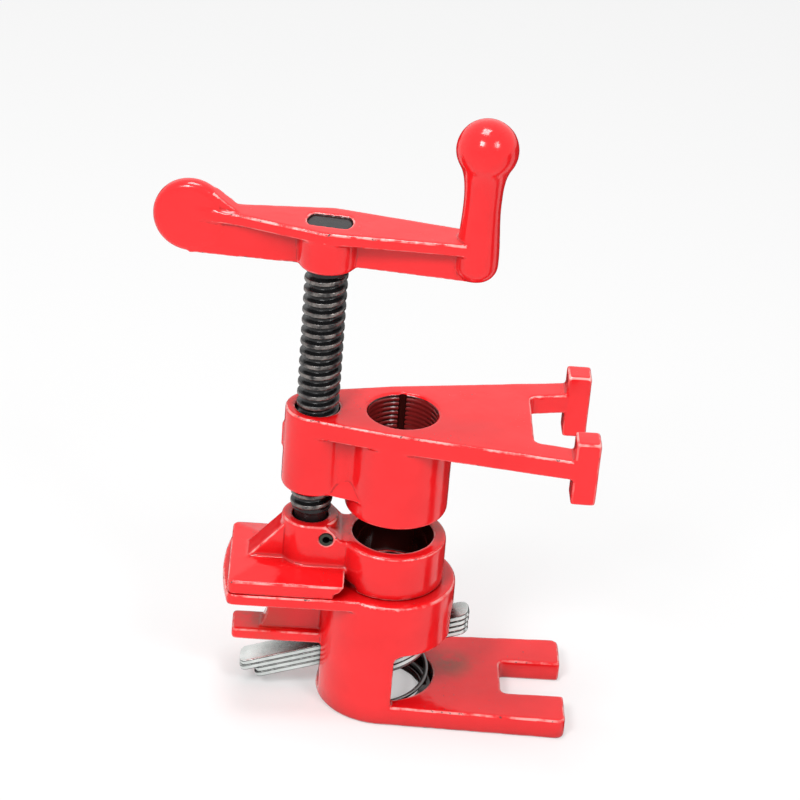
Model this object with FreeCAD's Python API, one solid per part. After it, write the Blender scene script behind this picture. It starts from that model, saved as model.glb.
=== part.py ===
import FreeCAD, Part
import math
import os
from FreeCAD import Vector

# Pipe clamp fixture set for a three-quarter inch pipe, without its pipe. Millimetres.
# The origin is on the pipe's axis at the underside of the sliding foot, and +Z is the pipe's axis.
# Both jaw pads reach to -X and both feet reach to +X. All but the crank and the threads are alike
# on both sides of Y.

# The pipe that the clamp is made for
pipe_outer_dia = 26.7
pipe_play = 0.95
pipe_bore_radius = pipe_outer_dia / 2 + pipe_play
pipe_thread_minor_dia = 24.1
pipe_thread_pitch = 1.81
pipe_thread_depth = 0.85
pipe_thread_groove_width = 1.05
pipe_thread_root_width = 0.2

# Values shared by all pieces
overrun = 3.0
sink = 1.0
casting_round = 1.3
small_round = 0.6
turned_gap = 0.35
feet_reach = 67.0
height_slack = 0.05
slim_share = 0.001
thread_buried_share = 0.3

# Sliding foot casting
foot_thickness = 8.0
foot_width = 53.0
foot_corner_round = 3.0
foot_slot_width = 20.2
foot_slot_length = 23.0
foot_slot_round = 2.5
housing_radius = 24.0
housing_wall = 5.0
housing_height = 50.4
housing_deck = 8.0
cavity_radius = housing_radius - housing_wall
window_edge_x = 3.2
window_top = 29.3
window_round = 3.0
spring_seat_floor = 2.6
fixed_pad_reach = 57.5
fixed_pad_bulge = 2.6
fixed_pad_width = 42.4
fixed_pad_thickness = 4.4
fixed_pad_corner_round = 2.0
guard_reach = 55.8
guard_width = 13.0
guard_thickness = 4.3
guard_corner_round = 1.5
guard_web_thickness = 7.0
guard_web_reach = 46.8
guard_web_hollow = 3.6
lever_slot_play = 0.9
tail_slot_play = 0.9
tail_slot_headroom = 2.0

# Clutch plates, from the top plate down
plate_count = 4
plate_thickness = 2.0
plate_tilt_deg = 18.0
plate_grip_play = 0.06
plate_gap = 0.05
plate_ring_width = 3.7
plate_lever_reaches = (55.0, 55.0, 49.2, 49.2)
plate_lever_width = 10.0
plate_lever_corner = 2.4
plate_tail_reach = 31.2
plate_tail_width = 9.6
plate_tail_corner = 3.6
fulcrum_height = 22.0
fulcrum_gap = 0.05

# Clutch spring
spring_wire_dia = 1.6
spring_mean_radius = 16.4
spring_end_gap = 0.1
spring_start_deg = 10.0
spring_quarter_turns = 9
spring_flat_quarters = 2
spring_least_gap = 0.4
spring_step_share = 0.01

# Sliding front jaw casting
jaw_ring_radius = 19.2
jaw_ring_height = 17.7
jaw_bore_play = 0.25
jaw_pad_reach = 57.7
jaw_pad_end = 20.0
jaw_pad_end_slant = 3.6
jaw_pad_width = 41.0
jaw_pad_edge = 5.2
jaw_pad_crown = 2.1
jaw_pad_crown_inset = 9.5
jaw_pad_corner_round = 2.5
jaw_boss_width = 20.4
jaw_boss_rise = 5.8
jaw_slope_start = 24.2
jaw_rib_width = 11.0
jaw_rib_reach = 53.0
jaw_rib_drop = 2.5
jaw_arch_width = 8.0
jaw_arch_height = 2.4
socket_play = 0.4
socket_floor = 10.0
socket_chamfer = 0.8

# Roll pin that keeps the screw in the front jaw
pin_dia = 4.8
pin_bore_dia = 2.7
pin_slot_width = 0.8
pin_drop = 5.0
pin_seat_gap = 0.02
pin_groove_play = 0.3
pin_neck_cut = 2.1

# Screw with trapezoidal thread
screw_offset = 30.0
screw_dia = 15.0
screw_pitch = 4.0
screw_root_dia = 11.0
screw_crest_width = 1.5
screw_root_width = 2.5
screw_neck_dia = 11.6
screw_neck_rise = 3.0
screw_shoulder = 2.3
screw_collar_dia = 14.2
screw_collar = 1.6
screw_tip_chamfer = 1.0
tenon_flats = 9.0
tenon_recess = 0.8
tenon_play = 0.08

# Fixed head casting, with the screw's nut thread and the pipe thread
head_drop = 38.1
head_gap = 11.3
head_plate_thickness = 7.4
head_pipe_boss_radius = 18.3
head_screw_boss_radius = 11.2
head_screw_boss_depth = 31.0
head_neck_width = 16.0
head_neck_blend = 4.0
head_foot_width = 57.4
head_notch_depth = 21.8
head_notch_width = 32.0
head_notch_mouth_width = 37.2
head_notch_round = 3.0
head_post_length = 8.6
head_post_width = 9.8
head_post_above = 7.1
head_post_below = 9.7
head_thread_chamfer = 1.2
head_flute_width = 2.4
head_flute_depth = 1.2
head_wedge_height = 7.5
head_wedge_inset = 0.4
head_wedge_screw_side_deg = 62.0
head_wedge_pipe_side_deg = 128.0
head_flash_length = 9.0
head_flash_reach = 0.9
head_flash_thickness = 0.9

# Crank handle casting
crank_lift = 54.7
crank_turn_deg = -8.0
crank_hub_radius = 10.0
crank_height = 16.3
crank_flange = 4.3
crank_hub_flange_width = 22.6
crank_hub_step = 0.2
crank_post_flange_width = 13.2
crank_paddle_flange_width = 10.2
crank_ridge_width = 7.3
crank_web_thickness = 6.0
crank_web_lift = 1.2
crank_post_offset = 50.3
crank_post_radius = 7.3
crank_post_waist = 6.4
crank_post_foot_share = 0.85
crank_ball_radius = 10.4
crank_ball_height = 48.6
crank_ball_leave_deg = 32.0
crank_waist_height = 32.5
crank_paddle_offset = 47.4
crank_paddle_radius = 12.9
crank_paddle_lift = 12.1
crank_paddle_thickness = 7.0
crank_paddle_round = 2.9
crank_flange_start = 30.0
crank_ridge_start = 46.0
crank_paddle_shoulder_deg = 52.0

# Heights and clearances that follow from the sizes above
jaw_top = housing_height + jaw_ring_height
boss_top = jaw_top + jaw_boss_rise
head_top = jaw_top + head_gap + head_drop
thread_start = boss_top + screw_neck_rise
shoulder_top = head_top + crank_lift
hub_top = shoulder_top + crank_height
tenon_top = hub_top - tenon_recess
plate_tilt = math.radians(plate_tilt_deg)
plate_rise = plate_thickness / math.cos(plate_tilt)
plate_step = (plate_thickness + plate_gap) / math.cos(plate_tilt)
plate_bore_radius = (
    (pipe_outer_dia + plate_thickness * math.sin(plate_tilt)) / math.cos(plate_tilt) / 2
    + plate_grip_play
)
plate_ring_radius = plate_bore_radius + plate_ring_width
fulcrum_x = -math.sqrt(cavity_radius**2 - (plate_lever_width / 2) ** 2)
top_plate_height = fulcrum_height - fulcrum_gap - fulcrum_x * math.tan(plate_tilt)
lowest_plate_height = top_plate_height - (plate_count - 1) * plate_step - plate_rise
jaw_bore_radius = pipe_bore_radius + jaw_bore_play
pin_x = -screw_offset + screw_neck_dia / 2 - pin_neck_cut + pin_dia / 2
pin_z = boss_top - pin_drop


def cylinder(radius, bottom, top, x=0):
    return Part.makeCylinder(radius, top - bottom, Vector(x, 0, bottom))


def block(x_low, x_high, y_low, y_high, z_low, z_high):
    return Part.makeBox(x_high - x_low, y_high - y_low, z_high - z_low, Vector(x_low, y_low, z_low))


def prism(points, bottom, top):
    """A straight-sided outline in plan, raised from bottom to top."""
    corners = [Vector(x, y, bottom) for x, y in points]
    face = Part.Face(Part.makePolygon(corners + corners[:1]))
    return face.extrude(Vector(0, 0, top - bottom))


def side_prism(points, width):
    """A straight-sided outline in the XZ plane, with its width shared between both sides of Y."""
    corners = [Vector(x, -width / 2, z) for x, z in points]
    face = Part.Face(Part.makePolygon(corners + corners[:1]))
    return face.extrude(Vector(0, width, 0))


def upright_edges(shape):
    return [edge for edge in shape.Edges if edge.BoundBox.ZLength > small_round and is_upright(edge)]


def is_upright(edge):
    box = edge.BoundBox
    return box.XLength + box.YLength < box.ZLength * slim_share


def level_edges(shape, height):
    """Edges that lie all along at one height."""
    return [
        edge
        for edge in shape.Edges
        if abs(edge.BoundBox.ZMin - height) < height_slack
        and abs(edge.BoundBox.ZMax - height) < height_slack
    ]


def soft_plate(shape, top, bottom, radius):
    """The plate with its upper and lower outlines rounded."""
    return shape.makeFillet(radius, level_edges(shape, top) + level_edges(shape, bottom))


def mirrored(point):
    return Vector(point.x, -point.y, point.z)


def touch(angle, radius, centre_x=0):
    return Vector(centre_x + radius * math.cos(angle), radius * math.sin(angle), 0)


def head_outline():
    """The head plate's outline: round at the screw, round at the pipe and wide at the foot."""
    end = Vector(feet_reach - head_post_length, head_foot_width / 2, 0)
    lean = math.acos((head_screw_boss_radius - head_pipe_boss_radius) / screw_offset)
    small = touch(lean, head_screw_boss_radius, -screw_offset)
    large = touch(lean, head_pipe_boss_radius)
    leave_angle = math.atan2(end.y, end.x) + math.acos(head_pipe_boss_radius / end.Length)
    leave = touch(leave_angle, head_pipe_boss_radius)
    tip = Vector(-screw_offset - head_screw_boss_radius, 0, 0)
    edges = [
        Part.Arc(mirrored(small), tip, small).toShape(),
        Part.makeLine(small, large),
        arc_on_circle(large, leave, head_pipe_boss_radius),
        Part.makeLine(leave, end),
        Part.makeLine(end, mirrored(end)),
        Part.makeLine(mirrored(end), mirrored(leave)),
        arc_on_circle(mirrored(leave), mirrored(large), head_pipe_boss_radius),
        Part.makeLine(mirrored(large), mirrored(small)),
    ]
    return Part.Face(Part.Wire(edges))


def arc_on_circle(start, finish, radius):
    """The short arc about the pipe's axis from start to finish."""
    middle = (start + finish).normalize() * radius
    return Part.Arc(start, middle, finish).toShape()


def foot_outline():
    """The sliding foot's outline: round about the pipe, with a straight wide end."""
    end = Vector(feet_reach, foot_width / 2, 0)
    leave_angle = math.atan2(end.y, end.x) + math.acos(housing_radius / end.Length)
    leave = touch(leave_angle, housing_radius)
    back = Vector(-housing_radius, 0, 0)
    edges = [
        Part.Arc(leave, back, mirrored(leave)).toShape(),
        Part.makeLine(mirrored(leave), mirrored(end)),
        Part.makeLine(mirrored(end), end),
        Part.makeLine(end, leave),
    ]
    return Part.Face(Part.Wire(edges))


def raised(face, bottom, top):
    solid = face.extrude(Vector(0, 0, top - bottom))
    solid.translate(Vector(0, 0, bottom))
    return solid


def fixed_pad():
    """The tail's jaw plate, bowed a little at its free end."""
    half = fixed_pad_width / 2
    bottom = housing_height - fixed_pad_thickness
    corner = Vector(-fixed_pad_reach, half, bottom)
    inner = Vector(0, half, bottom)
    bow = Vector(-fixed_pad_reach - fixed_pad_bulge, 0, bottom)
    edges = [
        Part.makeLine(inner, corner),
        Part.Arc(corner, bow, mirrored(corner)).toShape(),
        Part.makeLine(mirrored(corner), mirrored(inner)),
        Part.makeLine(mirrored(inner), inner),
    ]
    plate = Part.Face(Part.Wire(edges)).extrude(Vector(0, 0, fixed_pad_thickness))
    corners = [edge for edge in upright_edges(plate) if edge.BoundBox.XMax < -housing_radius]
    plate = plate.makeFillet(fixed_pad_corner_round, corners)
    return soft_plate(plate, housing_height, bottom, small_round)


def lever_guard():
    """The short arm over the clutch levers, that fingers squeeze against, and its upright web."""
    bottom = fulcrum_height
    top = bottom + guard_thickness
    arm = block(
        -guard_reach, -cavity_radius - sink, -guard_width / 2, guard_width / 2, bottom, top
    )
    corners = [edge for edge in upright_edges(arm) if edge.BoundBox.XMax < -housing_radius]
    arm = arm.makeFillet(guard_corner_round, corners)
    arm = soft_plate(arm, top, bottom, small_round)
    web_bottom = bottom + guard_thickness / 2
    web_top = housing_height - fixed_pad_thickness / 2
    web = block(
        -guard_web_reach,
        -cavity_radius - sink,
        -guard_web_thickness / 2,
        guard_web_thickness / 2,
        web_bottom,
        web_top,
    )
    height = web_top - web_bottom
    hollow_radius = height * height / 8 / guard_web_hollow + guard_web_hollow / 2
    hollow = Part.makeCylinder(
        hollow_radius,
        guard_web_thickness + 2 * overrun,
        Vector(
            -guard_web_reach + guard_web_hollow - hollow_radius,
            -guard_web_thickness / 2 - overrun,
            (web_bottom + web_top) / 2,
        ),
        Vector(0, 1, 0),
    )
    return arm.fuse(web.cut(hollow))


def tail_casting():
    foot = raised(foot_outline(), 0, foot_thickness)
    corners = [edge for edge in upright_edges(foot) if edge.BoundBox.XMin > housing_radius]
    foot = foot.makeFillet(foot_corner_round, corners)
    slot_start = feet_reach - foot_slot_length
    slot = block(
        slot_start,
        feet_reach + overrun,
        -foot_slot_width / 2,
        foot_slot_width / 2,
        -overrun,
        foot_thickness + overrun,
    )
    inner = [edge for edge in upright_edges(slot) if edge.BoundBox.XMax < feet_reach]
    foot = foot.cut(slot.makeFillet(foot_slot_round, inner))
    foot = soft_plate(foot, foot_thickness, 0, small_round)
    housing = cylinder(housing_radius, 0, housing_height)
    housing = housing.makeFillet(casting_round, level_edges(housing, housing_height))
    housing = housing.makeFillet(small_round, level_edges(housing, 0))
    body = foot.fuse([housing, fixed_pad(), lever_guard()]).removeSplitter()
    cavity = cylinder(cavity_radius, spring_seat_floor, housing_height - housing_deck)
    bore = cylinder(pipe_bore_radius, -overrun, housing_height + overrun)
    window = block(
        window_edge_x,
        housing_radius + overrun,
        -housing_radius - overrun,
        housing_radius + overrun,
        foot_thickness,
        window_top,
    )
    upper = [
        edge
        for edge in window.Edges
        if edge.BoundBox.ZMin > window_top - small_round and edge.BoundBox.XMax < housing_radius
    ]
    window = window.makeFillet(window_round, upper)
    lever_half = plate_lever_width / 2 + lever_slot_play
    lever_slot = block(
        -housing_radius - sink, 0, -lever_half, lever_half, spring_seat_floor, fulcrum_height
    )
    tail_half = plate_tail_width / 2 + tail_slot_play
    tail_slot_top = (
        top_plate_height + plate_tail_reach * math.sin(plate_tilt) + tail_slot_headroom
    )
    tail_slot = block(
        0, housing_radius + overrun, -tail_half, tail_half, foot_thickness, tail_slot_top
    )
    return body.cut([cavity, bore, window, lever_slot, tail_slot])


def clutch_plate(number):
    """One plate, drawn level about its bore and then tilted to its place on the pipe."""
    reach = plate_lever_reaches[number]
    ring = cylinder(plate_ring_radius, -plate_thickness, 0)
    lever = block(-reach, 0, -plate_lever_width / 2, plate_lever_width / 2, -plate_thickness, 0)
    lever_ends = [edge for edge in upright_edges(lever) if edge.BoundBox.XMax < -small_round]
    lever = lever.makeFillet(plate_lever_corner, lever_ends)
    tail = block(0, plate_tail_reach, -plate_tail_width / 2, plate_tail_width / 2, -plate_thickness, 0)
    tail_ends = [edge for edge in upright_edges(tail) if edge.BoundBox.XMin > small_round]
    tail = tail.makeFillet(plate_tail_corner, tail_ends)
    plate = ring.fuse([lever, tail]).cut(
        cylinder(plate_bore_radius, -plate_thickness - overrun, overrun)
    )
    plate = plate.removeSplitter()
    plate.rotate(Vector(0, 0, 0), Vector(0, 1, 0), -plate_tilt_deg)
    plate.translate(Vector(0, 0, top_plate_height - number * plate_step))
    return plate


def spring_point(quarter):
    """Centre of the wire after so many quarter turns, flat at both ends and tilted with the plates."""
    angle = math.radians(spring_start_deg) + quarter * math.pi / 2
    x = spring_mean_radius * math.cos(angle)
    y = spring_mean_radius * math.sin(angle)
    wire = spring_wire_dia / 2
    low = spring_seat_floor + wire + spring_end_gap
    high = lowest_plate_height + x * math.tan(plate_tilt)
    high -= (wire + spring_end_gap) / math.cos(plate_tilt)
    rising = spring_quarter_turns - 2 * spring_flat_quarters
    share = min(max((quarter - spring_flat_quarters) / rising, 0), 1)
    eased_share = (1 - math.cos(math.pi * share)) / 2
    return Vector(x, y, low + (high - low) * eased_share)


def spring_heading(quarter):
    """Direction of the wire there, taken over a small step."""
    after = spring_point(quarter + spring_step_share)
    before = spring_point(quarter - spring_step_share)
    return (after - before).normalize()


def arc_between(start, control, finish):
    """The arc that leaves start towards control and reaches finish coming from it."""
    chord = (finish - start) / 2
    middle = start + chord
    rise = control - middle
    half_turn = math.atan2(rise.Length, chord.Length)
    sagitta = chord.Length * math.tan(half_turn / 2)
    return Part.Arc(start, middle + rise.normalize() * sagitta, finish).toShape()


def biarc(start, start_heading, finish, finish_heading):
    """Two arcs that join two points and keep both headings."""
    gap = finish - start
    both = start_heading + finish_heading
    along = gap.dot(both)
    turn = 2 * (1 - start_heading.dot(finish_heading))
    reach = (math.sqrt(along * along + turn * gap.dot(gap)) - along) / turn
    first = start + start_heading * reach
    second = finish - finish_heading * reach
    middle = (first + second) / 2
    return [arc_between(start, first, middle), arc_between(middle, second, finish)]


def clutch_spring():
    """Round wire coil of a few open turns about the pipe, between the foot's seat and the plates."""
    points = [spring_point(quarter) for quarter in range(spring_quarter_turns + 1)]
    headings = [spring_heading(quarter) for quarter in range(spring_quarter_turns + 1)]
    first = points[0] - headings[0] * spring_wire_dia
    last = points[-1] + headings[-1] * spring_wire_dia
    edges = [Part.makeLine(first, points[0])]
    for number in range(spring_quarter_turns):
        edges += biarc(
            points[number], headings[number], points[number + 1], headings[number + 1]
        )
    edges.append(Part.makeLine(points[-1], last))
    path = Part.Wire(edges)
    section = Part.Wire(Part.makeCircle(spring_wire_dia / 2, first, headings[0]))
    coil = path.makePipeShell([section], True, False)
    report_gap(path)
    return coil


def report_gap(path):
    """Least gap between the coil and itself, from points along the wire's centre."""
    spacing = spring_wire_dia / 2
    points = path.discretize(Distance=spacing)
    skip = round(math.pi * spring_mean_radius / spacing)
    least = min(
        (points[first] - points[second]).Length
        for first in range(len(points))
        for second in range(first + skip, len(points))
    )
    gap = least - spring_wire_dia
    print("spring: least gap to itself", round(gap, 2), "mm, wanted over", spring_least_gap)


def crowned_pad():
    """The front jaw's plate: thin at its rim and a little thicker towards the middle."""
    half = jaw_pad_width / 2
    bottom = housing_height
    edge = bottom + jaw_pad_edge
    crown = edge + jaw_pad_crown
    low_end = -jaw_pad_end
    high_end = low_end + jaw_pad_end_slant
    length = jaw_pad_reach + high_end
    across = (
        (-half, bottom),
        (half, bottom),
        (half, edge),
        (half - jaw_pad_crown_inset, crown),
        (jaw_pad_crown_inset - half, crown),
        (-half, edge),
    )
    corners = [Vector(-jaw_pad_reach, y, z) for y, z in across]
    slab = Part.Face(Part.makePolygon(corners + corners[:1])).extrude(Vector(length, 0, 0))
    along = side_prism(
        (
            (-jaw_pad_reach, bottom),
            (-jaw_pad_reach, edge),
            (-jaw_pad_reach + jaw_pad_crown_inset, crown),
            (high_end, crown),
            (high_end, edge),
            (low_end, bottom),
        ),
        jaw_pad_width,
    )
    plan = block(-jaw_pad_reach, high_end, -half, half, bottom, crown)
    corners = [item for item in upright_edges(plan) if item.BoundBox.XMax < low_end]
    plan = plan.makeFillet(jaw_pad_corner_round, corners)
    return slab.common(along).common(plan)


def front_jaw_casting():
    ring = cylinder(jaw_ring_radius, housing_height, jaw_top)
    ring = ring.makeFillet(casting_round, level_edges(ring, jaw_top))
    ring = ring.makeFillet(small_round, level_edges(ring, housing_height))
    half = jaw_boss_width / 2
    base = housing_height + sink
    boss = cylinder(half, base, boss_top, -screw_offset)
    bridge = side_prism(
        (
            (-screw_offset, base),
            (-screw_offset, boss_top),
            (-jaw_slope_start, boss_top),
            (-jaw_slope_start + jaw_boss_rise, jaw_top),
            (-jaw_bore_radius, jaw_top),
            (-jaw_bore_radius, base),
        ),
        jaw_boss_width,
    )
    boss = boss.fuse(bridge).removeSplitter()
    boss = boss.makeFillet(small_round, level_edges(boss, boss_top))
    pad_top = housing_height + jaw_pad_edge
    rib = side_prism(
        (
            (-jaw_rib_reach, pad_top - sink),
            (-jaw_rib_reach, pad_top),
            (-screw_offset - half + sink, boss_top - jaw_rib_drop),
            (-screw_offset, boss_top - jaw_rib_drop),
            (-screw_offset, pad_top - sink),
        ),
        jaw_rib_width,
    )
    body = ring.fuse([boss, crowned_pad(), rib]).removeSplitter()
    bore = cylinder(jaw_bore_radius, housing_height - overrun, boss_top + overrun)
    socket_radius = screw_neck_dia / 2 + socket_play
    socket = cylinder(socket_radius, housing_height + socket_floor, boss_top + overrun, -screw_offset)
    mouth = Part.makeCone(
        socket_radius,
        socket_radius + socket_chamfer,
        socket_chamfer,
        Vector(-screw_offset, 0, boss_top - socket_chamfer),
    )
    pin_hole = Part.makeCylinder(
        pin_dia / 2 + pin_seat_gap,
        jaw_boss_width + 2 * overrun,
        Vector(pin_x, -half - overrun, pin_z),
        Vector(0, 1, 0),
    )
    arch_x = -jaw_pad_end + jaw_arch_width / 2
    arch = block(
        arch_x - jaw_arch_width / 2,
        arch_x + jaw_arch_width / 2,
        -jaw_pad_width,
        jaw_pad_width,
        housing_height - overrun,
        housing_height + jaw_arch_height,
    )
    crown = [edge for edge in arch.Edges if edge.BoundBox.ZMin > housing_height]
    crown = [edge for edge in crown if edge.BoundBox.YLength > jaw_pad_width]
    arch = arch.makeFillet(jaw_arch_height / 2, crown)
    return body.cut([bore, socket, mouth, pin_hole, arch])


def roll_pin():
    """Rolled spring pin, open along one side, across the front jaw's boss."""
    start = Vector(pin_x, -jaw_boss_width / 2, pin_z)
    across = Vector(0, 1, 0)
    tube = Part.makeCylinder(pin_dia / 2, jaw_boss_width, start, across)
    tube = tube.cut(Part.makeCylinder(pin_bore_dia / 2, jaw_boss_width, start, across))
    slit = block(
        pin_x,
        pin_x + pin_dia,
        -jaw_boss_width,
        jaw_boss_width,
        pin_z - pin_slot_width / 2,
        pin_z + pin_slot_width / 2,
    )
    return tube.cut(slit)


def thread_ridge(inner_radius, outer_radius, inner_width, outer_width, pitch, bottom, top):
    """A helical ridge about the Z axis, narrower at its outer radius and sunk a little at its inner one."""
    depth = outer_radius - inner_radius
    buried = depth * thread_buried_share
    inner_half = inner_width / 2 + (inner_width - outer_width) / 2 / depth * buried
    corners = [
        Vector(inner_radius - buried, 0, -inner_half),
        Vector(outer_radius, 0, -outer_width / 2),
        Vector(outer_radius, 0, outer_width / 2),
        Vector(inner_radius - buried, 0, inner_half),
    ]
    section = Part.makePolygon(corners + corners[:1])
    path = Part.makeHelix(pitch, top - bottom, inner_radius)
    ridge = Part.Wire(path.Edges).makePipeShell([section], True, True)
    ridge.translate(Vector(0, 0, bottom))
    return ridge


def double_d(radius, flats, bottom, top, x):
    """A round bar with two flats."""
    bar = cylinder(radius, bottom, top, x)
    return bar.common(block(x - radius, x + radius, -flats / 2, flats / 2, bottom, top))


def crank_turned(shape):
    """The shape turned about the screw's axis to where the crank rests."""
    turned = shape.copy()
    turned.rotate(Vector(-screw_offset, 0, 0), Vector(0, 0, 1), crank_turn_deg)
    return turned


def screw():
    neck_bottom = housing_height + socket_floor + turned_gap
    neck = cylinder(screw_neck_dia / 2, neck_bottom, thread_start + sink, -screw_offset)
    neck = neck.makeChamfer(screw_tip_chamfer, level_edges(neck, neck_bottom))
    groove_root = screw_neck_dia / 2 - pin_neck_cut - pin_groove_play
    groove_half = pin_dia / 2 + pin_groove_play
    groove = cylinder(
        screw_neck_dia, pin_z - groove_half, pin_z + groove_half, -screw_offset
    )
    groove = groove.cut(
        cylinder(groove_root, pin_z - groove_half, pin_z + groove_half, -screw_offset)
    )
    neck = neck.cut(groove)
    collar_top = thread_start + screw_collar
    shoulder_bottom = shoulder_top - screw_shoulder
    collar = cylinder(screw_collar_dia / 2, thread_start, collar_top, -screw_offset)
    shoulder = cylinder(screw_collar_dia / 2, shoulder_bottom, shoulder_top, -screw_offset)
    tenon = double_d(screw_dia / 2, tenon_flats, shoulder_top - sink, tenon_top, -screw_offset)
    ridge = thread_ridge(
        screw_root_dia / 2,
        screw_dia / 2,
        screw_root_width,
        screw_crest_width,
        screw_pitch,
        thread_start - screw_pitch,
        shoulder_top + screw_pitch,
    )
    ridge.translate(Vector(-screw_offset, 0, 0))
    rod = cylinder(
        screw_root_dia / 2, thread_start - screw_pitch, shoulder_top + screw_pitch, -screw_offset
    )
    rod = rod.fuse(ridge).common(cylinder(screw_dia, collar_top, shoulder_bottom, -screw_offset))
    return rod.fuse([neck, collar, shoulder, crank_turned(tenon)])


def head_post(side):
    """One upright T end of the head's foot."""
    outer = side * head_foot_width / 2
    inner = outer - side * head_post_width
    post = block(
        feet_reach - head_post_length,
        feet_reach,
        min(outer, inner),
        max(outer, inner),
        head_top - head_plate_thickness - head_post_below,
        head_top + head_post_above,
    )
    return post.makeFillet(small_round, post.Edges)


def joined_bosses(screw_side_radius, pipe_side_radius, width, blend, bottom, top):
    """Two round bosses, about the screw and about the pipe, with a neck between them and hollow blends."""
    small = cylinder(screw_side_radius, bottom, top, -screw_offset)
    large = cylinder(pipe_side_radius, bottom, top)
    neck = block(-screw_offset, 0, -width / 2, width / 2, bottom, top)
    body = small.fuse([large, neck]).removeSplitter()
    corners = [edge for edge in upright_edges(body) if is_hollow_corner(edge, width)]
    return body.makeFillet(blend, corners)


def is_hollow_corner(edge, width):
    """Is this upright edge where the neck's side runs into a boss?"""
    return abs(abs(edge.BoundBox.Center.y) - width / 2) < small_round


def head_casting():
    plate_bottom = head_top - head_plate_thickness
    plate = raised(head_outline(), plate_bottom, head_top)
    notch_x = feet_reach - head_notch_depth
    end_x = feet_reach - head_post_length
    mouth_half = head_notch_mouth_width / 2
    inner_half = head_notch_width / 2
    widening = (mouth_half - inner_half) / (end_x - notch_x)
    past_half = mouth_half + widening * overrun
    notch = prism(
        (
            (notch_x, -inner_half),
            (end_x + overrun, -past_half),
            (end_x + overrun, past_half),
            (notch_x, inner_half),
        ),
        plate_bottom - overrun,
        head_top + overrun,
    )
    inner = [edge for edge in upright_edges(notch) if edge.BoundBox.XMax < end_x]
    plate = plate.cut(notch.makeFillet(head_notch_round, inner))
    plate = soft_plate(plate, head_top, plate_bottom, small_round)
    screw_boss_bottom = head_top - head_screw_boss_depth
    pipe_boss = cylinder(head_pipe_boss_radius, head_top - head_drop, head_top - sink)
    pipe_boss = pipe_boss.makeFillet(casting_round, level_edges(pipe_boss, head_top - head_drop))
    neck = joined_bosses(
        head_screw_boss_radius,
        head_pipe_boss_radius,
        head_neck_width,
        head_neck_blend,
        screw_boss_bottom,
        head_top - sink,
    )
    neck = neck.makeFillet(casting_round, level_edges(neck, screw_boss_bottom))
    body = plate.fuse([pipe_boss, neck, head_post(-1), head_post(1)])
    body = body.fuse([head_wedge(-1), head_wedge(1), casting_flash()]).removeSplitter()
    screw_hole = cylinder(
        screw_dia / 2 + turned_gap, screw_boss_bottom - overrun, head_top + overrun, -screw_offset
    )
    return body.cut([screw_hole, pipe_thread_hole()])


def pipe_thread_hole():
    """All that the head's pipe hole takes away: thread, flute and the countersunk mouths."""
    bottom = head_top - head_drop
    crest = pipe_thread_minor_dia / 2
    hole = cylinder(crest, bottom - overrun, head_top + overrun)
    flute = block(
        -head_flute_width / 2,
        head_flute_width / 2,
        0,
        crest + head_flute_depth,
        bottom - overrun,
        head_top + overrun,
    )
    groove = thread_ridge(
        crest,
        crest + pipe_thread_depth,
        pipe_thread_groove_width,
        pipe_thread_root_width,
        pipe_thread_pitch,
        bottom - pipe_thread_pitch,
        head_top + pipe_thread_pitch,
    )
    return groove.fuse([hole, flute, chamfer_cone(head_top, 1), chamfer_cone(bottom, -1)])


def chamfer_cone(height, direction):
    """A shallow countersink at a mouth of the pipe thread, opening up or down."""
    wide = pipe_thread_minor_dia / 2 + head_thread_chamfer
    narrow = wide - head_thread_chamfer - sink
    depth = head_thread_chamfer + sink
    return Part.makeCone(
        narrow, wide, depth, Vector(0, 0, height - direction * depth), Vector(0, 0, direction)
    )


def head_wedge(side):
    """The slanted three-cornered facet low on the neck, from one boss to the other."""
    rise = Vector(0, 0, head_top - head_screw_boss_depth)
    screw_side = touch(
        math.radians(head_wedge_screw_side_deg),
        head_screw_boss_radius - head_wedge_inset,
        -screw_offset,
    )
    pipe_side = touch(
        math.radians(head_wedge_pipe_side_deg), head_pipe_boss_radius - head_wedge_inset
    )
    middle = (screw_side + pipe_side) / 2
    peak = Vector(middle.x, head_neck_width / 2 - sink, head_wedge_height)
    inner = Vector(middle.x, 0, 0)
    left, right, high, deep = [
        Vector(corner.x, side * corner.y, corner.z) + rise
        for corner in (screw_side, pipe_side, peak, inner)
    ]
    faces = [
        Part.Face(Part.makePolygon([first, second, third, first]))
        for first, second, third in (
            (left, right, high),
            (left, high, deep),
            (high, right, deep),
            (left, deep, right),
        )
    ]
    return Part.Solid(Part.Shell(faces))


def casting_flash():
    """The small fin that the mould's parting left on the screw boss."""
    outer = -screw_offset - head_screw_boss_radius
    top = head_top - head_plate_thickness
    return block(
        outer - head_flash_reach,
        outer + sink,
        -head_flash_thickness / 2,
        head_flash_thickness / 2,
        top - head_flash_length,
        top,
    )


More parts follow.
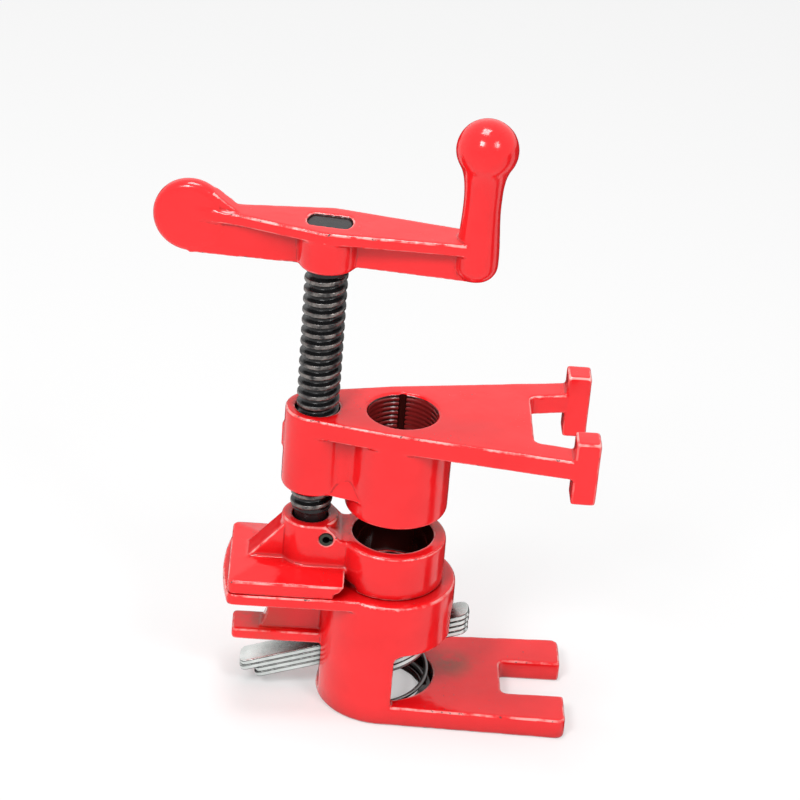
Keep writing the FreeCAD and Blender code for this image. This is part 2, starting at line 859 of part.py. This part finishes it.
def crank_handle():
    base = shoulder_top
    top = hub_top
    hub = Part.makeCone(
        crank_hub_radius,
        crank_hub_flange_width / 2 - crank_hub_step,
        top - small_round - base,
        Vector(-screw_offset, 0, base),
    )
    hub = hub.makeFillet(casting_round, level_edges(hub, base))
    flange = prism(
        (
            (-screw_offset - crank_ridge_start, -crank_ridge_width / 2),
            (-screw_offset - crank_flange_start, -crank_paddle_flange_width / 2),
            (-screw_offset, -crank_hub_flange_width / 2),
            (-screw_offset + crank_post_offset, -crank_post_flange_width / 2),
            (-screw_offset + crank_post_offset, crank_post_flange_width / 2),
            (-screw_offset, crank_hub_flange_width / 2),
            (-screw_offset - crank_flange_start, crank_paddle_flange_width / 2),
            (-screw_offset - crank_ridge_start, crank_ridge_width / 2),
        ),
        top - crank_flange,
        top,
    )
    flange = soft_plate(flange, top, top - crank_flange, small_round)
    post_x = -screw_offset + crank_post_offset
    right_web = block(
        -screw_offset,
        post_x,
        -crank_web_thickness / 2,
        crank_web_thickness / 2,
        base + crank_web_lift,
        top - sink,
    )
    body = hub.fuse([flange, right_web, paddle_arm(), crank_post(post_x)]).removeSplitter()
    hole = double_d(
        screw_dia / 2 + tenon_play,
        tenon_flats + 2 * tenon_play,
        base - overrun,
        top + overrun,
        -screw_offset,
    )
    return crank_turned(body.cut(hole))


def paddle_arm():
    """The upright thumb paddle and the web that joins it to the hub."""
    centre_x = -screw_offset - crank_paddle_offset
    centre_z = shoulder_top + crank_paddle_lift
    disc = Part.makeCylinder(
        crank_paddle_radius,
        crank_paddle_thickness,
        Vector(centre_x, -crank_paddle_thickness / 2, centre_z),
        Vector(0, 1, 0),
    )
    disc = disc.makeFillet(crank_paddle_round, [edge for edge in disc.Edges if edge.Closed])
    low = centre_z - crank_paddle_radius
    slant = math.radians(crank_paddle_shoulder_deg)
    shoulder = touch(slant, crank_paddle_radius, centre_x)
    web = side_prism(
        (
            (centre_x, low),
            (shoulder.x, centre_z + shoulder.y),
            (-screw_offset - crank_flange_start, hub_top - small_round),
            (-screw_offset, hub_top - small_round),
            (-screw_offset, shoulder_top + small_round),
        ),
        crank_web_thickness,
    )
    return disc.fuse(web)


def crank_post(x):
    """Upright waisted post with a ball knob, turned about its own axis."""
    base = shoulder_top + crank_web_lift
    waist_z = shoulder_top + crank_waist_height
    ball_z = shoulder_top + crank_ball_height
    leave = math.radians(crank_ball_leave_deg)
    foot_round = crank_post_radius * crank_post_foot_share
    corner = foot_round * (1 - math.cos(math.pi / 4))
    bottom_in = Vector(x + crank_post_radius - foot_round, 0, base)
    bottom_out = Vector(x + crank_post_radius, 0, base + foot_round)
    bottom_mid = Vector(x + crank_post_radius - corner, 0, base + corner)
    waist = Vector(x + crank_post_waist, 0, waist_z)
    joint = Vector(
        x + crank_ball_radius * math.cos(leave), 0, ball_z - crank_ball_radius * math.sin(leave)
    )
    crown = Vector(x, 0, ball_z + crank_ball_radius)
    side = Vector(x + crank_ball_radius, 0, ball_z)
    centre = Vector(x, 0, base)
    waist_curve = Part.BSplineCurve()
    waist_curve.interpolate(
        Points=[bottom_out, waist, joint],
        InitialTangent=Vector(0, 0, 1),
        FinalTangent=Vector(math.sin(leave), 0, math.cos(leave)),
    )
    edges = [
        Part.makeLine(centre, bottom_in),
        Part.Arc(bottom_in, bottom_mid, bottom_out).toShape(),
        waist_curve.toShape(),
        Part.Arc(joint, side, crown).toShape(),
        Part.makeLine(crown, centre),
    ]
    face = Part.Face(Part.Wire(edges))
    return face.revolve(Vector(x, 0, 0), Vector(0, 0, 1), 360)


def save(name, shape):
    if not shape.isValid():
        raise ValueError(name + " is not a valid shape")
    solids = shape.Solids
    print(name, "solids", len(solids), "volume", round(shape.Volume))
    whole = solids[0] if len(solids) == 1 else Part.makeCompound(solids)
    whole.exportStep("parts/" + name + ".step")


def main():
    os.makedirs("parts", exist_ok=True)
    save("tail_casting", tail_casting())
    for number in range(plate_count):
        save("clutch_plate_" + str(number + 1), clutch_plate(number))
    save("clutch_spring", clutch_spring())
    save("front_jaw_casting", front_jaw_casting())
    save("roll_pin", roll_pin())
    save("screw", screw())
    save("head_casting", head_casting())
    save("crank_handle", crank_handle())


main()
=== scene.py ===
import math
from typing import NamedTuple

import bmesh
import bpy
import numpy as np
from mathutils import Matrix, Vector, noise


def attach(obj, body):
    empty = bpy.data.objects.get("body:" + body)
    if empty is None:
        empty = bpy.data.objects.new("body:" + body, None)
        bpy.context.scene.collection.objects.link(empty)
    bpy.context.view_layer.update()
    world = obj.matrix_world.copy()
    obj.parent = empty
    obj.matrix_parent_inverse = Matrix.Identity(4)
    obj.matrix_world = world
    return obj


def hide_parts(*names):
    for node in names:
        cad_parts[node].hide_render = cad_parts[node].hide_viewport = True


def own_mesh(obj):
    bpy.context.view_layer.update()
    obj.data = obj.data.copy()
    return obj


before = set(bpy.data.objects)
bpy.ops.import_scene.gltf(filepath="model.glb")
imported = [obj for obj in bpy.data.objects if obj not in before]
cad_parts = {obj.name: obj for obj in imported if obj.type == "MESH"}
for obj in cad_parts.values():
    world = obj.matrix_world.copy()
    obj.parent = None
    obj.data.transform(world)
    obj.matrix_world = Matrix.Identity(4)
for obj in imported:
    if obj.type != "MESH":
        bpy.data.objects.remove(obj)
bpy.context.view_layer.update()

# Pipe clamp fixture set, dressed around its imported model. Metres, in the model's frame.


class Lamp(NamedTuple):
    name: str
    place: tuple
    size: float
    watts: float


class Bore(NamedTuple):
    """Upright hole whose wall takes another colour up to its top: bare iron in threads and painted shade
    deeper inside.
    """

    x: float
    radius: float
    top: float
    colour: tuple


class Stain(NamedTuple):
    place: tuple
    reach: float


class Casting(NamedTuple):
    """A red casting: its CAD node, its piece here, its body, its bores and its stains."""

    node: str
    piece: str
    body: str
    bores: tuple
    stains: tuple


class Pattern(NamedTuple):
    """Noise with features of about that size, and the band of it in which a mark sets in."""

    size: float
    band: tuple = (0.0, 1.0)
    detail: float = 2.0
    roughness: float = 0.5


class Relief(NamedTuple):
    """How deep and how strong a bump is."""

    distance: float
    strength: float


# Camera, placed from the photograph's own edges
camera_place = (-0.0377, -0.7838, 0.5530)
camera_yaw_deg = 2.64
camera_pitch_deg = -28.8
camera_roll_deg = 4.9
camera_lens_mm = 115.8
camera_sensor_mm = 36

# Floor and light. The floor's glow grows with the distance from the pipe's axis.
white = (1, 1, 1, 1)
floor_paint = (0.93, 0.93, 0.93, 1)
floor_roughness = 0.9
floor_half_size = 3.0
floor_drop = 0.0001
near_glow_band = (0.03, 0.15)
near_glow_shares = (0.35, 0.78)
far_glow_band = (0.20, 1.30)
room_light = 0.22
seen_room_light = 1.0
lamps = (
    Lamp("overhead", (-0.10, 0.05, 1.00), 0.34, 4.8),
    Lamp("front_left", (-0.60, -0.92, 1.15), 0.42, 11.8),
    Lamp("front_right", (0.70, -0.85, 1.05), 0.34, 6.2),
)
lamp_aim = (0.0, 0.0, 0.11)

# What vertical walls mirror in the floor: start and end of each dark stretch, in degrees about
# the pipe's axis from the camera's side towards +X
dark_stretches = ((72, 90), (112, 218))
dark_edge_deg = 2.5
dark_level = 0.05
full_turn_deg = 360

# Sizes of the castings, the thread and the plates that the looks depend on
pipe_thread_outer = 0.0133
thread_hole_floor = 0.0795
screw_axis_x = -0.030
crest_band = (0.0072, 0.00745)
plate_count = 4
plate_tilt_deg = 18.0
stack_top = 0.02654
plate_step = 0.00205
plate_gap_mark = 0.00036

# How the meshes are softened: voxel, rounds of smoothing, most faces, waves and grain
casting_voxel = 0.00045
casting_rounds = 7
casting_faces = 180000
casting_wave = 0.00007
casting_wave_size = 0.009
casting_grain = 0.000025
casting_grain_size = 0.0022
edge_full_softening = 0.00010
steel_voxel = 0.00032
plate_voxel = 0.00025
steel_rounds = 3
smoothing_step_share = 0.5
weld_distance = 0.000001

# Colours
red_paint = (0.93, 0.011, 0.015, 1)
red_deep = (0.80, 0.004, 0.007, 1)
# Painted shade for hollows and inside corners
red_painted_shade = (0.42, 0.001, 0.002, 1)
chip_iron = (0.045, 0.030, 0.028, 1)
bare_brown = (0.50, 0.075, 0.042, 1)
# Painted highlight along edges that look up
edge_glint = (1.0, 0.62, 0.58, 1)
# Bare iron in threads, and painted shade deep inside bores
bore_iron_and_shade = (0.040, 0.006, 0.005, 1)
crest_red = (0.24, 0.016, 0.016, 1)
black_oxide = (0.014, 0.014, 0.015, 1)
worn_steel = (0.34, 0.31, 0.29, 1)
zinc_light = (0.82, 0.84, 0.82, 1)
zinc_dark = (0.66, 0.69, 0.67, 1)
# Painted shade on plates, wire and pin in hollows
zinc_painted_shade = (0.05, 0.045, 0.045, 1)
# Painted shade in the gaps between stacked plates
gap_painted_shade = (0.012, 0.012, 0.012, 1)
wire_steel = (0.20, 0.20, 0.20, 1)
pin_steel = (0.06, 0.075, 0.06, 1)

# Painted shade in hollows: how far it looks for cover, and the band of openness in which it sets in
crevice_reach = 0.010
crevice_samples = 4
crevice_band = (0.25, 0.96)
crevice_shares = (1.0, 0.0)

# Enamel. The softening measure goes from -1 in corners to 1 on edges and sets chips and painted highlights
# on edges and painted shade in corners; rise is how far a face looks up.
enamel_tone = Pattern(0.018, (0.35, 0.75), 3.0)
deep_share = 0.5
# Painted shade in inside corners: band of the softening measure and its shares
corner_shade_band = (-1.0, -0.5)
corner_shade_shares = (0.7, 0.0)
edge_band = (0.72, 1.0)
broken_glint = Pattern(0.0060, (0.36, 0.62), 3.0, 0.6)
glint_rise_band = (0.0, 0.5)
glint_shares = (0.22, 0.58)
torn_chip = Pattern(0.0022, (0.62, 0.66), 4.0, 0.65)
speck_rise_band = (0.90, 0.97)
speck_dots = Pattern(0.0009, (0.70, 0.74))
speck_patches = Pattern(0.016, (0.46, 0.60))
torn_stain = Pattern(0.006, (0.28, 0.58), 4.0, 0.6)
enamel_haze = Pattern(0.006, (0.3, 0.7), 3.0)
enamel_roughness = (0.10, 0.19)
chip_roughness = 0.6
orange_peel = Pattern(0.0022)
peel_relief = Relief(0.00007, 0.5)
pit_relief = Relief(0.00015, 0.8)

# Black steel of the screw
steel_specular = 0.5
rubbed_crest = Pattern(0.0035, (0.32, 0.66), 4.0, 0.6)
most_rubbed = 0.7
whole_band = (0.0, 1.0)
steel_metallic = (0.35, 0.95)
oil_film = Pattern(0.003, (0.3, 0.7), 3.0)
oiled_roughness = (0.20, 0.36)
steel_skin = Pattern(0.0009, detail=3.0)
skin_relief = Relief(0.00004, 0.6)

# Zinc plate, spring wire and pin. The painted shade lines in the gaps between plates fade over these
# multiples of their own width.
zinc_clouds = Pattern(0.007, (0.35, 0.70), 3.0)
zinc_streaks = Pattern(0.0006, (0.3, 0.7), 3.0)
streak_shrink = (0.08, 1.0, 1.0)
streak_roughness = 0.14
streak_relief = Relief(0.00003, 0.5)
plate_roughness = 0.24
wire_roughness = 0.3
pin_roughness = 0.35
gap_fade_starts = 1.4
gap_fade_ends = 0.8
edge_facing_band = (0.55, 0.85)
edge_facing_shares = (1.0, 0.0)

castings = (
    Casting(
        "tail_casting",
        "tail_enamel",
        "tail",
        (Bore(0, 0.0192, 0.0425, bore_iron_and_shade), Bore(0, 0.0145, 0.0505, bore_iron_and_shade)),
        (Stain((0.026, 0.006, 0.008), 0.013), Stain((-0.044, 0.004, 0.0265), 0.016)),
    ),
    Casting(
        "front_jaw_casting",
        "front_jaw_enamel",
        "front_jaw",
        (Bore(0, 0.0148, 0.0675, bore_iron_and_shade), Bore(screw_axis_x, 0.0064, 0.0735, bore_iron_and_shade)),
        (Stain((-0.019, 0, 0.071), 0.009), Stain((0.016, 0.006, 0.068), 0.008)),
    ),
    Casting(
        "head_casting",
        "head_enamel",
        "head",
        (
            Bore(0, 0.0134, 0.1168, bore_iron_and_shade),
            Bore(0, 0.01235, 0.1168, crest_red),
            Bore(screw_axis_x, 0.0081, 0.1168, bore_iron_and_shade),
        ),
        (),
    ),
    Casting("crank_handle", "crank_enamel", "screw", (Bore(screw_axis_x, 0.0078, 0.1882, bore_iron_and_shade),), ()),
)


def node_copy(node, name):
    """A piece of its own that starts as the node's closed mesh."""
    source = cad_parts[node]
    mesh = source.data.copy()
    mesh.transform(source.matrix_world)
    work = bmesh.new()
    work.from_mesh(mesh)
    bmesh.ops.remove_doubles(work, verts=work.verts, dist=weld_distance)
    work.to_mesh(mesh)
    work.free()
    piece = bpy.data.objects.new(name, mesh)
    bpy.context.scene.collection.objects.link(piece)
    return piece


def settle(piece):
    """Takes the piece's modifiers into its mesh."""
    shown = piece.evaluated_get(bpy.context.evaluated_depsgraph_get())
    mesh = bpy.data.meshes.new_from_object(shown)
    piece.modifiers.clear()
    piece.data = mesh


def remesh(piece, voxel):
    modifier = piece.modifiers.new("even_mesh", "REMESH")
    modifier.mode = "VOXEL"
    modifier.voxel_size = voxel
    settle(piece)


def thin_out(piece, most_faces):
    """Brings the mesh of four-sided faces under a number of triangles."""
    count = 2 * len(piece.data.polygons)
    if count <= most_faces:
        return
    modifier = piece.modifiers.new("fewer_faces", "DECIMATE")
    modifier.ratio = most_faces / count
    settle(piece)


def places_of(mesh):
    places = np.empty(3 * len(mesh.vertices))
    mesh.vertices.foreach_get("co", places)
    return places.reshape(-1, 3)


def put_places(mesh, places):
    mesh.vertices.foreach_set("co", places.ravel())
    mesh.update()


def mark_edges(mesh, before):
    """Stores how much the softening took off each point: over 0 on edges, under 0 in corners."""
    normals = np.empty(3 * len(mesh.vertices))
    mesh.vertices.foreach_get("normal", normals)
    moved = ((before - places_of(mesh)) * normals.reshape(-1, 3)).sum(axis=1)
    wear_glint_and_shade = mesh.attributes.new("wear_glint_and_shade", "FLOAT", "POINT")
    wear_glint_and_shade.data.foreach_set("value", np.clip(moved / edge_full_softening, -1, 1))


def soften(mesh, rounds, weight):
    """Rounds edges and fills hollow corners by moving each point towards its neighbours."""
    ends = np.empty(2 * len(mesh.edges), dtype=int)
    mesh.edges.foreach_get("vertices", ends)
    first = ends[0::2]
    second = ends[1::2]
    count = len(mesh.vertices)
    degree = np.bincount(ends, minlength=count)[:, None]
    places = places_of(mesh)
    for _ in range(rounds):
        total = np.stack(
            [
                np.bincount(first, places[second, axis], count)
                + np.bincount(second, places[first, axis], count)
                for axis in range(3)
            ],
            axis=1,
        )
        places += smoothing_step_share * weight[:, None] * (total / degree - places)
    put_places(mesh, places)


def roughen(mesh, weight):
    """Long waves and fine grain of a sand casting under thick enamel."""
    places = places_of(mesh)
    normals = np.empty(3 * len(mesh.vertices))
    mesh.vertices.foreach_get("normal", normals)
    normals = normals.reshape(-1, 3)
    lift = np.array(
        [
            casting_wave * noise.noise(Vector(place) / casting_wave_size)
            + casting_grain * noise.noise(Vector(place) / casting_grain_size)
            for place in places
        ]
    )
    put_places(mesh, places + normals * (lift * weight)[:, None])


def smooth_faces(mesh):
    mesh.polygons.foreach_set("use_smooth", np.ones(len(mesh.polygons), dtype=bool))
    mesh.update()


def dress(piece, node, body, material):
    piece.data.materials.clear()
    piece.data.materials.append(material)
    smooth_faces(piece.data)
    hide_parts(node)
    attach(piece, body)


def away_from_thread(places):
    """0 on the wall of the head's threaded hole and 1 elsewhere."""
    radius = np.hypot(places[:, 0], places[:, 1])
    inside = (radius < pipe_thread_outer) & (places[:, 2] > thread_hole_floor)
    return np.where(inside, 0.0, 1.0)


def casting(node, name, body, material):
    piece = node_copy(node, name)
    remesh(piece, casting_voxel)
    places = places_of(piece.data)
    weight = np.ones(len(places))
    if node == "head_casting":
        weight = away_from_thread(places)
    soften(piece.data, casting_rounds, weight)
    mark_edges(piece.data, places)
    roughen(piece.data, weight)
    thin_out(piece, casting_faces)
    dress(piece, node, body, material)
    return piece


def steel_piece(node, name, body, material, voxel):
    piece = node_copy(node, name)
    remesh(piece, voxel)
    soften(piece.data, steel_rounds, np.ones(len(piece.data.vertices)))
    dress(piece, node, body, material)
    return piece


def pressed_spring(material):
    """The clutch spring, which in the real clamp shortens as the plates come down level; here it keeps the
    node's shape.
    """
    piece = node_copy("clutch_spring", "spring_coil")
    dress(piece, "clutch_spring", "tail", material)
    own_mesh(piece)


class Nodes:
    """Adds and joins the nodes of one node tree."""

    def __init__(self, tree):
        self.tree = tree

    def add(self, kind):
        return self.tree.nodes.new(kind)

    def put(self, value, socket):
        """Joins an output to the socket, or sets the socket to a plain value."""
        if isinstance(value, bpy.types.NodeSocket):
            self.tree.links.new(value, socket)
        else:
            socket.default_value = value

    def math(self, operation, *values):
        node = self.add("ShaderNodeMath")
        node.operation = operation
        for value, socket in zip(values, node.inputs):
            self.put(value, socket)
        return node.outputs["Value"]

    def vector(self, operation, *values):
        """A measure of one or two places or directions, such as LENGTH or DISTANCE."""
        node = self.add("ShaderNodeVectorMath")
        node.operation = operation
        for value, socket in zip(values, node.inputs):
            self.put(value, socket)
        return node.outputs["Value"]

    def split(self, value):
        node = self.add("ShaderNodeSeparateXYZ")
        self.put(value, node.inputs["Vector"])
        return node.outputs

    def ramp(self, value, band, results=whole_band):
        """Goes smoothly from the first result to the second while the value crosses the band."""
        node = self.add("ShaderNodeMapRange")
        node.interpolation_type = "SMOOTHSTEP"
        for name, number in zip(("From Min", "From Max", "To Min", "To Max"), (*band, *results)):
            node.inputs[name].default_value = number
        self.put(value, node.inputs["Value"])
        return node.outputs["Result"]

    def mix(self, share, first, second):
        """Colour that goes from first to second. Each may be a colour or an output."""
        node = self.add("ShaderNodeMix")
        node.data_type = "RGBA"
        self.put(share, node.inputs["Factor"])
        for name, value in (("A", first), ("B", second)):
            target = [item for item in node.inputs if item.name == name and item.type == "RGBA"][0]
            self.put(value, target)
        return [item for item in node.outputs if item.type == "RGBA"][0]

    def blend(self, share, first, second):
        """Surface or background that goes from first to second."""
        node = self.add("ShaderNodeMixShader")
        for value, socket in zip((share, first, second), node.inputs):
            self.put(value, socket)
        return node.outputs["Shader"]

    def glow(self, colour):
        node = self.add("ShaderNodeEmission")
        self.put(colour, node.inputs["Color"])
        return node.outputs["Emission"]


class Shader(Nodes):
    """The nodes of one material, with the places on the object at hand."""

    def __init__(self, name):
        self.material = bpy.data.materials.new(name)
        self.material.use_nodes = True
        super().__init__(self.material.node_tree)
        self.surface = self.tree.nodes["Principled BSDF"]
        self.coordinates = self.add("ShaderNodeTexCoord").outputs
        self.places = self.coordinates["Object"]

    def set(self, name, value):
        """Gives a socket of the surface a plain value or an output."""
        self.put(value, self.surface.inputs[name])

    def noise(self, pattern, places=None):
        node = self.add("ShaderNodeTexNoise")
        node.inputs["Scale"].default_value = 1 / pattern.size
        node.inputs["Detail"].default_value = pattern.detail
        node.inputs["Roughness"].default_value = pattern.roughness
        self.put(self.places if places is None else places, node.inputs["Vector"])
        return node.outputs["Fac"]

    def marks(self, pattern, results=whole_band):
        """The pattern's noise, taken smoothly across its band."""
        return self.ramp(self.noise(pattern), pattern.band, results)

    def bump(self, height, relief, under=None):
        node = self.add("ShaderNodeBump")
        node.inputs["Distance"].default_value = relief.distance
        node.inputs["Strength"].default_value = relief.strength
        self.put(height, node.inputs["Height"])
        if under is not None:
            self.put(under, node.inputs["Normal"])
        return node.outputs["Normal"]

    def attribute(self, name):
        node = self.add("ShaderNodeAttribute")
        node.attribute_name = name
        return node.outputs["Fac"]

    def rise(self):
        """How far each face looks up: 1 for a level top, 0 for a wall."""
        return self.split(self.add("ShaderNodeNewGeometry").outputs["Normal"])["Z"]

    def hollow_shade(self):
        """Painted shade: 1 deep in a hollow and 0 on open faces."""
        cover = self.add("ShaderNodeAmbientOcclusion")
        cover.inputs["Distance"].default_value = crevice_reach
        cover.samples = crevice_samples
        return self.ramp(cover.outputs["AO"], crevice_band, crevice_shares)

    def near(self, stain):
        """1 in the middle of the stain, falling to 0 at its reach."""
        away = self.vector("DISTANCE", self.places, stain.place)
        return self.ramp(away, (0.0, stain.reach), (1.0, 0.0))

    def axis_distance(self, x):
        """Distance from the upright line at that x."""
        axes = self.split(self.places)
        across = self.math("SUBTRACT", axes["X"], x)
        across_square = self.math("MULTIPLY", across, across)
        along_square = self.math("MULTIPLY", axes["Y"], axes["Y"])
        return self.math("SQRT", self.math("ADD", across_square, along_square))

    def inside(self, bore):
        """1 inside the bore, up to its top."""
        within = self.math("LESS_THAN", self.axis_distance(bore.x), bore.radius)
        below = self.math("LESS_THAN", self.split(self.places)["Z"], bore.top)
        return self.math("MULTIPLY", within, below)


def edge_glints(look, edge, rise):
    """Painted highlight: broken bright lines along edges, strongest where the edge looks up."""
    broken = look.math("MULTIPLY", edge, look.marks(broken_glint))
    return look.math("MULTIPLY", broken, look.ramp(rise, glint_rise_band, glint_shares))


def iron_marks(look, edge, rise):
    """Chips on edges, and specks in patches on level tops."""
    chips = look.math("MULTIPLY", edge, look.marks(torn_chip))
    dots = look.math("MULTIPLY", look.marks(speck_dots), look.marks(speck_patches))
    specks = look.math("MULTIPLY", look.ramp(rise, speck_rise_band), dots)
    return look.math("MAXIMUM", chips, specks)


def enamel(name, bores, stains):
    """Thick glossy red enamel over cast iron."""
    look = Shader(name)
    rise = look.rise()
    wear_glint_and_shade = look.attribute("wear_glint_and_shade")
    edge = look.ramp(wear_glint_and_shade, edge_band)
    deep = look.math("MULTIPLY", look.marks(enamel_tone), deep_share)
    colour = look.mix(deep, red_paint, red_deep)
    # Painted shade in hollows and in inside corners
    colour = look.mix(look.hollow_shade(), colour, red_painted_shade)
    colour = look.mix(look.ramp(wear_glint_and_shade, corner_shade_band, corner_shade_shares), colour, red_painted_shade)
    # Painted highlight along edges
    colour = look.mix(edge_glints(look, edge, rise), colour, edge_glint)
    for stain in stains:
        share = look.math("MULTIPLY", look.near(stain), look.marks(torn_stain))
        colour = look.mix(share, colour, bare_brown)
    marks = iron_marks(look, edge, rise)
    colour = look.mix(marks, colour, chip_iron)
    # Bore walls: bare iron in threads, painted shade deeper inside
    for bore in bores:
        colour = look.mix(look.inside(bore), colour, bore.colour)
    look.set("Base Color", colour)
    rough = look.marks(enamel_haze, enamel_roughness)
    rough_chips = look.math("MULTIPLY", marks, chip_roughness)
    look.set("Roughness", look.math("MAXIMUM", rough, rough_chips))
    peel = look.bump(look.noise(orange_peel), peel_relief)
    look.set("Normal", look.bump(look.math("SUBTRACT", 1.0, marks), pit_relief, peel))
    return look.material


def blackened_steel():
    """Oiled black oxide, rubbed bright along the thread's crests."""
    look = Shader("black_steel")
    look.set("Specular IOR Level", steel_specular)
    crest = look.ramp(look.axis_distance(screw_axis_x), crest_band)
    rubbed = look.math("MULTIPLY", crest, look.marks(rubbed_crest))
    wear = look.math("MULTIPLY", rubbed, most_rubbed)
    look.set("Base Color", look.mix(wear, black_oxide, worn_steel))
    look.set("Metallic", look.ramp(wear, whole_band, steel_metallic))
    look.set("Roughness", look.marks(oil_film, oiled_roughness))
    look.set("Normal", look.bump(look.noise(steel_skin), skin_relief))
    return look.material


def gap_shade_marks(look):
    """1 along the painted shade lines in the gaps between the stacked plates' edges."""
    tilt = math.radians(plate_tilt_deg)
    upward = (-math.sin(tilt), 0, math.cos(tilt))
    depth = look.math("SUBTRACT", stack_top, look.vector("DOT_PRODUCT", look.places, upward))
    share = look.math("FRACT", look.math("DIVIDE", depth, plate_step))
    from_middle = look.math("ABSOLUTE", look.math("SUBTRACT", share, 0.5))
    mark_share = plate_gap_mark / plate_step
    fade = (0.5 - gap_fade_starts * mark_share, 0.5 - gap_fade_ends * mark_share)
    facing = look.vector("DOT_PRODUCT", look.coordinates["Normal"], upward)
    side = look.ramp(look.math("ABSOLUTE", facing), edge_facing_band, edge_facing_shares)
    return look.math("MULTIPLY", look.ramp(from_middle, fade), side)


def zinc(name, light, dark, smoothest, stack=False):
    """Bright metal with drawn streaks along X and cloudy patches, from the smoothest roughness up."""
    look = Shader(name)
    look.set("Metallic", 1.0)
    shrink = look.add("ShaderNodeMapping")
    shrink.inputs["Scale"].default_value = streak_shrink
    look.put(look.places, shrink.inputs["Vector"])
    streaks = look.noise(zinc_streaks, shrink.outputs["Vector"])
    clouded = look.mix(look.marks(zinc_clouds), light, dark)
    # Painted shade in hollows
    colour = look.mix(look.hollow_shade(), clouded, zinc_painted_shade)
    if stack:
        # Painted shade in the gaps between plates
        colour = look.mix(gap_shade_marks(look), colour, gap_painted_shade)
    look.set("Base Color", colour)
    look.set("Roughness", look.ramp(streaks, zinc_streaks.band, (smoothest, smoothest + streak_roughness)))
    look.set("Normal", look.bump(streaks, streak_relief))
    return look.material


def room():
    """White all round where it is seen, and a softer white where it lights the object."""
    world = bpy.data.worlds.new("studio")
    bpy.context.scene.world = world
    world.use_nodes = True
    look = Nodes(world.node_tree)
    rays = look.add("ShaderNodeLightPath").outputs
    share = rays["Is Camera Ray"]
    for name in ("Is Glossy Ray", "Is Transmission Ray"):
        share = look.math("MAXIMUM", share, rays[name])
    lit = look.tree.nodes["Background"]
    seen = look.add("ShaderNodeBackground")
    for node, strength in ((lit, room_light), (seen, seen_room_light)):
        node.inputs["Color"].default_value = white
        node.inputs["Strength"].default_value = strength
    whole = look.blend(share, lit.outputs["Background"], seen.outputs["Background"])
    look.put(whole, look.tree.nodes["World Output"].inputs["Surface"])


def mirrored_tone(look):
    """What reflections see of the floor: white, with dark stretches like a studio's flags."""
    axes = look.split(look.places)
    angle = look.math("ARCTAN2", axes["X"], look.math("MULTIPLY", axes["Y"], -1.0))
    turn = look.math("WRAP", look.math("DIVIDE", angle, math.tau), 1.0, 0.0)
    tone = look.add("ShaderNodeValToRGB")
    elements = tone.color_ramp.elements
    elements.remove(elements[1])
    elements[0].position = 0
    elements[0].color = white
    for start, end in dark_stretches:
        for place, level in (
            (start - dark_edge_deg, 1.0),
            (start + dark_edge_deg, dark_level),
            (end - dark_edge_deg, dark_level),
            (end + dark_edge_deg, 1.0),
        ):
            elements.new(place / full_turn_deg).color = (level, level, level, 1)
    look.put(turn, tone.inputs["Fac"])
    return tone.outputs["Color"]


def floor():
    """Pale floor that glows part of its white, so that a soft shadow still shows on it."""
    half = floor_half_size
    mesh = bpy.data.meshes.new("floor")
    corners = [(-half, -half), (half, -half), (half, half), (-half, half)]
    mesh.from_pydata([(x, y, -floor_drop) for x, y in corners], [], [(0, 1, 2, 3)])
    piece = bpy.data.objects.new("floor", mesh)
    bpy.context.scene.collection.objects.link(piece)
    look = Shader("pale_floor")
    look.set("Base Color", floor_paint)
    look.set("Roughness", floor_roughness)
    away = look.vector("LENGTH", look.places)
    near_share = look.ramp(away, near_glow_band, near_glow_shares)
    glow_share = look.math("MAXIMUM", near_share, look.ramp(away, far_glow_band))
    rays = look.add("ShaderNodeLightPath").outputs
    seen_glow = look.math("MULTIPLY", rays["Is Camera Ray"], glow_share)
    seen = look.blend(seen_glow, look.surface.outputs["BSDF"], look.glow(white))
    whole = look.blend(rays["Is Glossy Ray"], seen, look.glow(mirrored_tone(look)))
    look.put(whole, look.tree.nodes["Material Output"].inputs["Surface"])
    mesh.materials.append(look.material)


def lamp(name, place, size, watts):
    data = bpy.data.lights.new(name, "AREA")
    data.shape = "SQUARE"
    data.size = size
    data.energy = watts
    item = bpy.data.objects.new(name, data)
    item.location = place
    aim = Vector(lamp_aim) - Vector(place)
    item.rotation_euler = aim.to_track_quat("-Z", "Y").to_euler()
    bpy.context.scene.collection.objects.link(item)


def camera():
    yaw = math.radians(camera_yaw_deg)
    pitch = math.radians(camera_pitch_deg)
    roll = math.radians(camera_roll_deg)
    ahead = Vector((math.sin(yaw) * math.cos(pitch), math.cos(yaw) * math.cos(pitch), math.sin(pitch)))
    level_right = Vector((math.cos(yaw), -math.sin(yaw), 0))
    level_up = level_right.cross(ahead)
    right = level_right * math.cos(roll) + level_up * math.sin(roll)
    up = level_up * math.cos(roll) - level_right * math.sin(roll)
    data = bpy.data.cameras.new("camera")
    data.lens = camera_lens_mm
    data.sensor_width = camera_sensor_mm
    item = bpy.data.objects.new("camera", data)
    turn = Matrix((right, up, -ahead)).transposed()
    item.matrix_world = Matrix.Translation(camera_place) @ turn.to_4x4()
    bpy.context.scene.collection.objects.link(item)
    bpy.context.scene.camera = item


def main():
    camera()
    room()
    floor()
    for values in lamps:
        lamp(*values)
    bpy.context.scene.view_settings.view_transform = "Standard"
    for node, name, body, bores, stains in castings:
        casting(node, name, body, enamel(name, bores, stains))
    steel_piece("screw", "screw_blackened", "screw", blackened_steel(), steel_voxel)
    plated = zinc("zinc_plate", zinc_light, zinc_dark, plate_roughness, stack=True)
    for number in range(1, plate_count + 1):
        node = "clutch_plate_" + str(number)
        name = "zinc_plate_" + str(number)
        steel_piece(node, name, "plate_" + str(number), plated, plate_voxel)
    pressed_spring(zinc("spring_wire", wire_steel, wire_steel, wire_roughness))
    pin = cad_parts["roll_pin"]
    pin.data.materials.clear()
    pin.data.materials.append(zinc("pin_steel", pin_steel, black_oxide, pin_roughness))


main()
